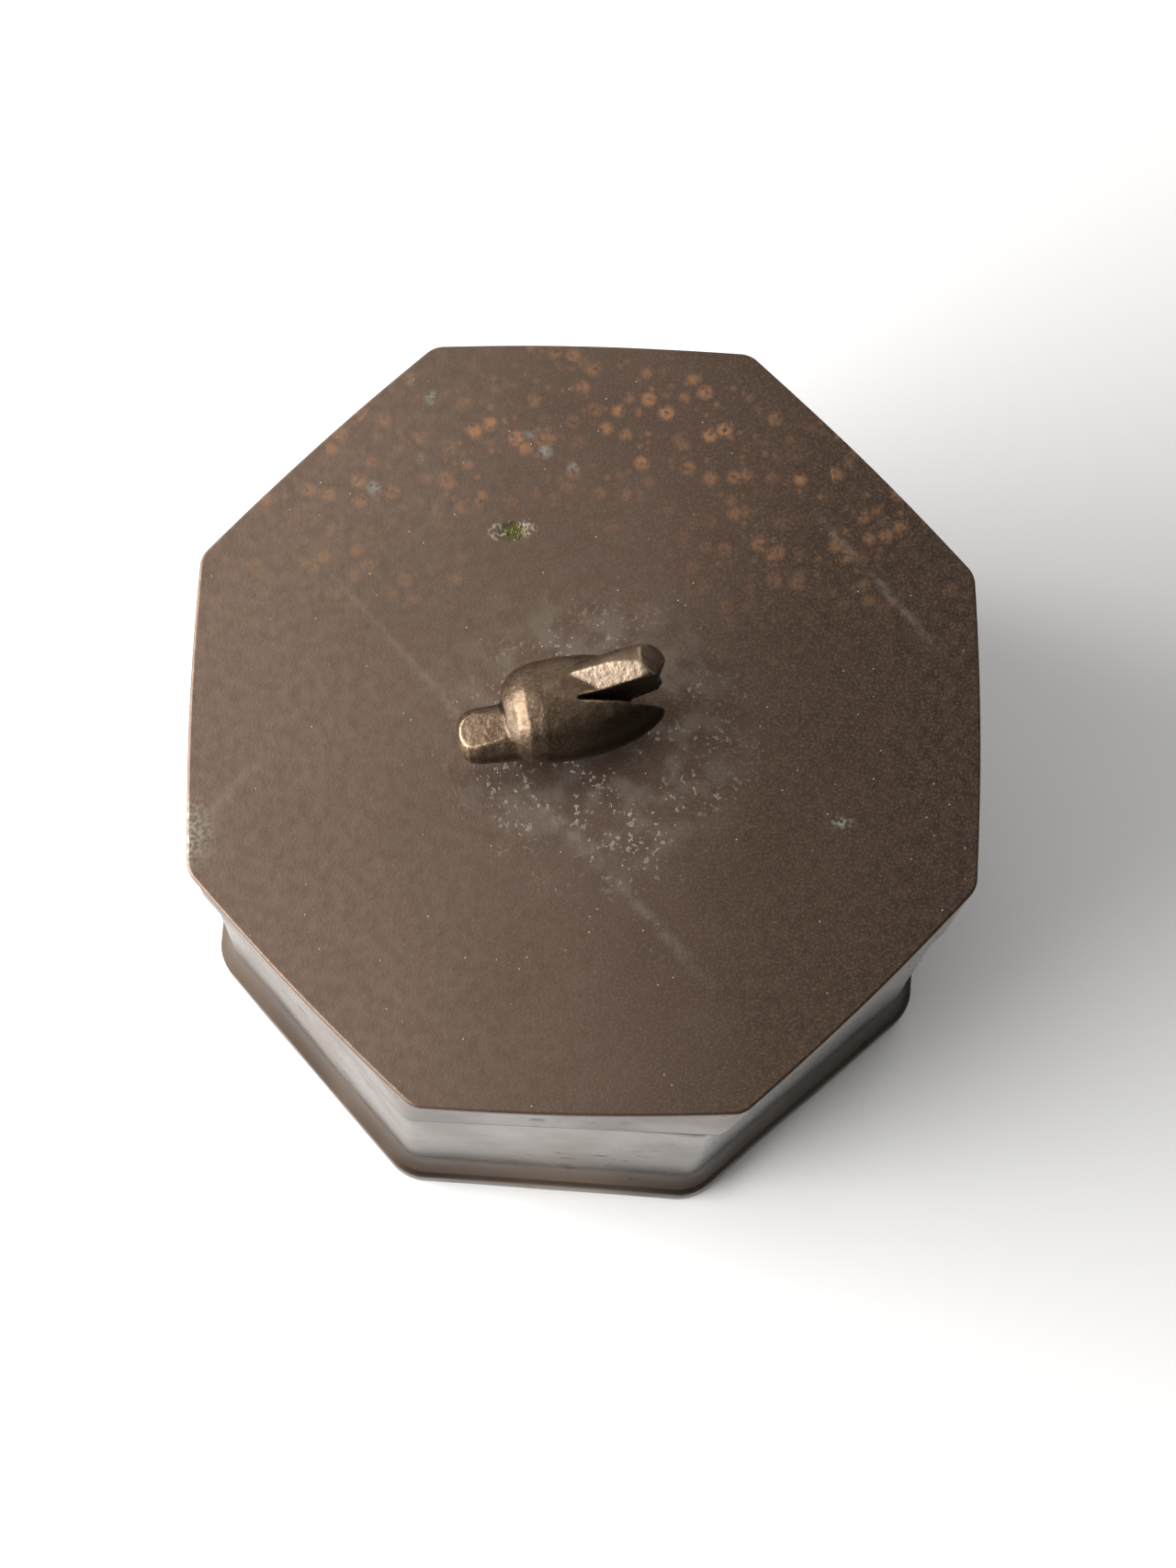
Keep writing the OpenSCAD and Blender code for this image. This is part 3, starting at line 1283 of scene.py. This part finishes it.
@dataclass(frozen=True)
class Limb:
    """One tapering branch of the knob, in millimetres from the centre of the lid's top.

    Attributes:
        start: Place where it starts.
        end: Place where it ends.
        stations: For each cross-section, its place from 0 to 1 and its half width and half height.
        corners: Number of corners of the cross-section: few for a filed branch.
        roll: Turn of the cross-section about the branch, in degrees.
        flats: Filed flats, each a point on it and the direction that it faces.
    """

    start: Point
    end: Point
    stations: tuple[Station, ...]
    corners: int = 40
    roll: float = 0.0
    flats: tuple[tuple[Point, Point], ...] = ()

    def build(self) -> Piece:
        """Extrudes the cross-section along the branch, caps both ends and files the flats.

        Returns:
            The new object.
        """
        start, end = Vector(self.start) * MM, Vector(self.end) * MM
        length = (end - start).length
        at, wide, tall = self.stations[0]
        outline = Outline(corners=self.corners, turn=self.roll)
        obj = outline.start("limb", MM, at * length)
        bpy.ops.transform.resize(value=(wide, tall, 1), center_override=(0, 0, 0))
        bpy.ops.mesh.edge_face_add()
        for next_at, next_wide, next_tall in self.stations[1:]:
            extrude_loop((next_at - at) * length, next_wide / wide, next_tall / tall)
            at, wide, tall = next_at, next_wide, next_tall
        bpy.ops.object.mode_set(mode="OBJECT")
        obj.matrix_world = self.place(start, end)
        activate(obj)
        apply_transform()
        finish_mesh(obj)
        self.file_flats(obj)
        return obj

    def file_flats(self, obj: Piece) -> None:
        """Cuts the branch's filed flats.

        Args:
            obj: The branch.
        """
        activate(obj)
        bpy.ops.object.mode_set(mode="EDIT")
        for point, facing in self.flats:
            bpy.ops.mesh.select_all(action="SELECT")
            bpy.ops.mesh.bisect(
                plane_co=Vector(point) * MM, plane_no=facing, use_fill=True, clear_outer=True
            )
        bpy.ops.object.mode_set(mode="OBJECT")

    @staticmethod
    def place(start: Vector, end: Vector) -> Matrix:
        """Returns the matrix that lays local z along the branch and local y upwards.

        Args:
            start: Where the branch starts.
            end: Where it ends.

        Returns:
            The matrix.
        """
        along = (end - start).normalized()
        side = Vector((0, 0, 1)).cross(along)
        side = side.normalized() if side.length > 0.01 else Vector((1, 0, 0))
        up = along.cross(side)
        turn = Matrix((side, up, along)).transposed().to_4x4()
        return Matrix.Translation(start) @ turn


@dataclass
class Knob:
    """Cast twig: a thick trunk on a post, a cut tail, a raised shoot and a low bud.

    Attributes:
        turn: Turn of the lid plate that carries it, in degrees.
        voxel: Size of the voxels that weld the branches, in metres.
        grain: Depth of the cast grain, in metres.
        grain_size: Size of the cast grain, in metres.
        trunk: The thick body, from the tail to the bud.
        tail: The cut-off tail.
        shoot: The raised shoot with its filed flats.
        post: The post that stands on the lid.
        notch_tip: Where the notch between shoot and bud ends, in millimetres.
        notch_mouth: Where it opens, in millimetres.
        notch_half_width: Half its width at the mouth, in millimetres.
        notch_half_height: Half its height there, in millimetres.
        bare_flats: Flats filed bare: a point, the direction that it faces and how bare it is.
        flat_depth: Distance from a flat within which a point belongs to it, in millimetres.
        wear_passes: Number of smoothing passes that tell ridges from hollows.
    """

    turn: float = 3.1
    voxel: float = 0.17 * MM
    grain: float = 0.07 * MM
    grain_size: float = 0.7 * MM
    trunk: Limb = Limb(
        (-8.3, -1.6, 6.7), (7.6, 1.5, 5.6),
        (
            (0.0, 2.4, 2.0), (0.02, 3.2, 2.7), (0.06, 4.1, 3.5), (0.12, 4.75, 4.2), (0.22, 5.15, 4.6),
            (0.38, 5.3, 4.75), (0.55, 5.15, 4.6), (0.7, 4.65, 4.2), (0.82, 4.0, 3.7), (0.91, 3.25, 3.05),
            (0.97, 2.5, 2.4), (1.0, 1.7, 1.6),
        ),
        flats=(((-8.0, -1.4, 9.0), (-0.78, -0.30, 0.55)),),
    )
    tail: Limb = Limb(
        (-12.9, -3.5, 5.2), (-5.0, -2.4, 5.9),
        (
            (0.0, 0.8, 0.7), (0.02, 1.5, 1.3), (0.06, 2.1, 1.9), (0.13, 2.6, 2.35), (0.25, 2.85, 2.6),
            (1.0, 3.1, 2.8),
        ),
        flats=(((-10.5, -3.0, 7.6), (-0.22, 0.0, 0.97)),),
    )
    shoot: Limb = Limb(
        (-3.4, 0.0, 7.9), (7.7, 3.9, 10.6),
        (
            (0.0, 2.0, 2.0), (0.2, 2.6, 2.6), (0.6, 2.6, 2.6), (0.85, 2.3, 2.3), (0.95, 1.8, 1.8),
            (1.0, 1.2, 1.2),
        ),
        flats=(
            ((1.76, 1.26, 11.05), (-0.20, -0.35, 0.915)),
            ((3.8, 4.3, 12.2), (-0.12, 0.50, 0.86)),
            ((4.9, 4.4, 12.1), (0.68, 0.34, 0.65)),
            ((7.3, 3.3, 10.0), (0.92, -0.35, 0.10)),
        ),
    )
    post: Limb = Limb(
        (0.0, 0.0, 0.0), (0.0, 0.0, 5.0),
        ((0.0, 3.7, 3.7), (0.08, 3.7, 3.7), (0.2, 3.1, 3.1), (0.6, 2.8, 2.8), (1.0, 3.2, 3.2)),
    )
    notch_tip: Point = (-1.9, -0.55, 12.0)
    notch_mouth: Point = (9.5, 1.35, 7.6)
    notch_half_width: float = 1.5
    notch_half_height: float = 8.5
    bare_flats: tuple[tuple[Point, Point, float], ...] = (
        (*trunk.flats[0], 0.3), (*shoot.flats[0], 0.6),
    )
    flat_depth: float = 0.12
    wear_passes: int = 8

    def remesh(self, obj: Piece) -> None:
        """Turns the knob into one skin of even voxels."""
        obj.data.remesh_voxel_size = self.voxel
        bpy.ops.object.voxel_remesh()

    def cut_notch(self, obj: Piece) -> None:
        """Cuts the notch between the shoot and the bud with a lying wedge.

        Args:
            obj: The welded knob.
        """
        tip, mouth = Vector(self.notch_tip) * MM, Vector(self.notch_mouth) * MM
        length = (tip - mouth).length
        clear_selection()
        bpy.ops.mesh.primitive_cone_add(
            vertices=4, radius1=math.sqrt(2) * MM, radius2=0, depth=length, location=(0, 0, length / 2),
            rotation=(0, 0, math.pi / 4),
        )
        wedge = bpy.context.object
        apply_transform()
        wedge.scale = (self.notch_half_width, self.notch_half_height, 1)
        apply_transform()
        wedge.matrix_world = Limb.place(mouth, tip)
        apply_transform()
        cut = obj.modifiers.new("notch", "BOOLEAN")
        cut.operation = "DIFFERENCE"
        cut.object = wedge
        cut.solver = "MANIFOLD"
        apply_modifiers(obj)
        bpy.data.objects.remove(wedge, do_unlink=True)

    def weld(self) -> Piece:
        """Joins the branches into one skin.

        Returns:
            The welded object.
        """
        limbs = [limb.build() for limb in (self.trunk, self.tail, self.shoot, self.post)]
        clear_selection()
        for limb in limbs:
            limb.select_set(True)
        bpy.context.view_layer.objects.active = limbs[0]
        bpy.ops.object.join()
        obj = bpy.context.object
        obj.name = obj.data.name = "twig_knob"
        self.remesh(obj)
        self.cut_notch(obj)
        self.remesh(obj)
        smooth = obj.modifiers.new("smooth", "SMOOTH")
        smooth.factor = 0.5
        smooth.iterations = 5
        apply_modifiers(obj)
        return obj

    def mark_wear(self, obj: Piece) -> None:
        """Stores on the mesh how far each point is a worn ridge, a grimy hollow or a filed flat.

        Args:
            obj: The knob.
        """
        flat_turn, flat_least = 10, 8.6
        mesh = obj.data
        count = len(mesh.vertices)
        place = np.zeros(count * 3)
        mesh.vertices.foreach_get("co", place)
        place = place.reshape(-1, 3)
        ends = np.zeros(len(mesh.edges) * 2, dtype=np.int64)
        mesh.edges.foreach_get("vertices", ends)
        ends = ends.reshape(-1, 2)
        normal = np.array([v.normal for v in mesh.vertices])
        degree = np.maximum(np.bincount(ends.ravel(), minlength=count), 1)[:, None]
        smooth = place.copy()
        for _ in range(self.wear_passes):
            total = np.zeros_like(smooth)
            np.add.at(total, ends[:, 0], smooth[ends[:, 1]])
            np.add.at(total, ends[:, 1], smooth[ends[:, 0]])
            smooth = total / degree
        bulge = ((place - smooth) * normal).sum(1)
        scale = np.percentile(np.abs(bulge), 97)
        filed = np.zeros(count)
        for point, facing, share in self.bare_flats:
            off_plane = np.abs((place / MM - np.array(point)) @ np.array(facing))
            tilt = normal @ np.array(facing)
            near = np.clip(2 - off_plane / self.flat_depth, 0, 1)
            level = np.clip(tilt * flat_turn - flat_least, 0, 1)
            filed = np.maximum(filed, near * level * share)
        for name, values in (("wear", bulge / scale), ("hollow", -bulge / scale), ("filed", filed)):
            store = mesh.attributes.new(name, "FLOAT", "POINT")
            store.data.foreach_set("value", np.clip(values, 0, 1).astype(np.float32))

    def build(self) -> None:
        """Builds and dresses the knob."""
        obj = self.weld()
        self.mark_wear(obj)
        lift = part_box("lid_plate")[1].z
        obj.matrix_world = Matrix.Translation((0, 0, lift)) @ Matrix.Rotation(
            math.radians(self.turn), 4, "Z"
        )
        activate(obj)
        apply_transform()
        make_uneven(obj, self.grain, self.grain_size)
        activate(obj)
        bpy.ops.object.shade_smooth()
        hand_in(obj, Body.LID, "cast_bronze", CastBronze().material(), "knob")


# ---------------------------------------------------------------- the studio


@dataclass(frozen=True)
class Glow:
    """One side of the room that is brighter than the rest.

    Attributes:
        towards: Direction of its middle.
        starts: Cosine of the angle from its middle at which it has faded out.
        strength: Brightness in its middle.
    """

    towards: Point
    starts: float
    strength: float


@dataclass
class Studio:
    """Camera, table, window light and dim room.

    Attributes:
        camera_place: Place of the camera, in metres.
        camera_target: Point on the lid that it looks at, in metres.
        camera_roll: Its turn about its own axis, in degrees.
        lens: Focal length in millimetres.
        sensor: Width of the camera's sensor, in millimetres.
        table_size: Width of the table top, in metres.
        window_bearing: Bearing that the light comes from, in degrees from -X towards -Y.
        window_height: Height of the light above the horizon, in degrees.
        window_distance: Distance of the light, in metres.
        window_width: Width of the light, in metres.
        window_tall: Height of the light's panel, in metres.
        window_power: Power of the light, in watts.
        window_colour: Colour of its light.
        room_colour: Colour of the room's light.
        room: Brightness of the room all round.
        glows: Brighter sides of the room, added to that.
    """

    camera_place: Point = (-0.00088, -0.0850, 0.4056)
    camera_target: Point = (0.00071, -0.00656, 0.065)
    camera_roll: float = 5.42
    lens: float = 79.5
    sensor: float = 36
    table_size: float = 6
    window_bearing: float = 12.0
    window_height: float = 36.0
    window_distance: float = 0.5
    window_width: float = 0.5
    window_tall: float = 0.36
    window_power: float = 6.0
    window_colour: Colour = (1.0, 0.985, 0.965)
    room_colour: Colour = (1.0, 0.985, 0.96)
    room: float = 0.05
    glows: tuple[Glow, ...] = (
        Glow((-0.40, 0.35, 0.85), 0.2, 0.36),
        Glow((-1, 0, 0), 0.0, 0.7),
        Glow((0.35, 0.88, 0.32), 0.2, 0.80),
    )

    def camera(self) -> None:
        """Adds the camera and makes it the scene's own."""
        data = bpy.data.cameras.new("camera")
        data.lens = self.lens
        data.sensor_width = self.sensor
        data.clip_start = 0.01
        camera = bpy.data.objects.new("camera", data)
        bpy.context.scene.collection.objects.link(camera)
        aim = Vector(self.camera_target) - Vector(self.camera_place)
        turn = aim.to_track_quat("-Z", "Y").to_matrix().to_4x4()
        roll = Matrix.Rotation(math.radians(self.camera_roll), 4, "Z")
        camera.matrix_world = Matrix.Translation(self.camera_place) @ turn @ roll
        bpy.context.scene.camera = camera

    def table(self) -> None:
        """Adds the table top."""
        clear_selection()
        bpy.ops.mesh.primitive_plane_add(size=self.table_size, location=(0, 0, 0))
        table = bpy.context.object
        table.name = table.data.name = "table_top"
        table.data.materials.append(TableTop().material())

    def window(self) -> None:
        """Adds the soft light from the left."""
        data = bpy.data.lights.new("window", "AREA")
        data.shape = "RECTANGLE"
        data.size = self.window_width
        data.size_y = self.window_tall
        data.energy = self.window_power
        data.color = self.window_colour
        light = bpy.data.objects.new("window", data)
        bpy.context.scene.collection.objects.link(light)
        bearing, height = math.radians(self.window_bearing), math.radians(self.window_height)
        level = math.cos(height)
        towards = Vector((-math.cos(bearing) * level, -math.sin(bearing) * level, math.sin(height)))
        light.location = towards * self.window_distance
        light.rotation_mode = "QUATERNION"
        light.rotation_quaternion = towards.to_track_quat("Z", "Y")

    def room_light(self) -> None:
        """Lights the room softly, brightest towards the window, and sets a plain view of colours."""
        world = bpy.data.worlds.new("room")
        bpy.context.scene.world = world
        world.use_nodes = True
        graph = Graph(world.node_tree)
        direction = graph.add("TexCoord", {}).outputs["Generated"]
        total = self.room
        for glow in self.glows:
            inputs = {0: direction, 1: glow.towards}
            along = graph.add("VectorMath", inputs, operation="DOT_PRODUCT").outputs["Value"]
            total = graph.total(total, graph.product(graph.fade(along, glow.starts, 1.0), glow.strength))
        background = graph.tree.nodes["Background"]
        graph.feed(self.room_colour, background.inputs["Color"])
        graph.feed(total, background.inputs["Strength"])
        bpy.context.scene.view_settings.view_transform = "Standard"

    def build(self) -> None:
        """Sets up the whole studio."""
        self.camera()
        self.table()
        self.window()
        self.room_light()


def main() -> None:
    """Builds the inkwell and its studio, in order."""
    logging.basicConfig(level=logging.INFO, format="%(name)s: %(message)s", force=True)
    Studio().build()
    Case().build()
    Well().build()
    lid = Lid()
    lid.build()
    Knob(turn=lid.plate_turn).build()


if __name__ == "__main__":
    main()
